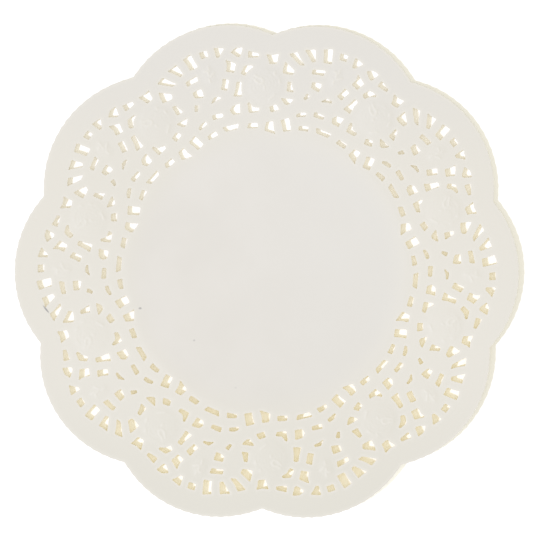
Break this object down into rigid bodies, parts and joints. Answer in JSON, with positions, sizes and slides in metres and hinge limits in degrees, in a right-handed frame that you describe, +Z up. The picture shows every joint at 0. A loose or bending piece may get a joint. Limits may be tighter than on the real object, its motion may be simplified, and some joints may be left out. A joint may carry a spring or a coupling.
{
  "type": "paper doily",
  "caption": "Round paper doily lying flat, with a plain middle, a border of punched lace and a scalloped edge.",
  "frame": {"origin": "middle of the underside, on the surface that the sheet lies on", "axes": "+Z up out of the face that shows; +X through the tip of a scallop"},
  "size_m": [0.165, 0.1604, 0.001],
  "materials": {
    "paper": "matte, lightly embossed"
  },
  "bodies": {
    "root": {"doily": "paper"}
  },
  "joints": []
}
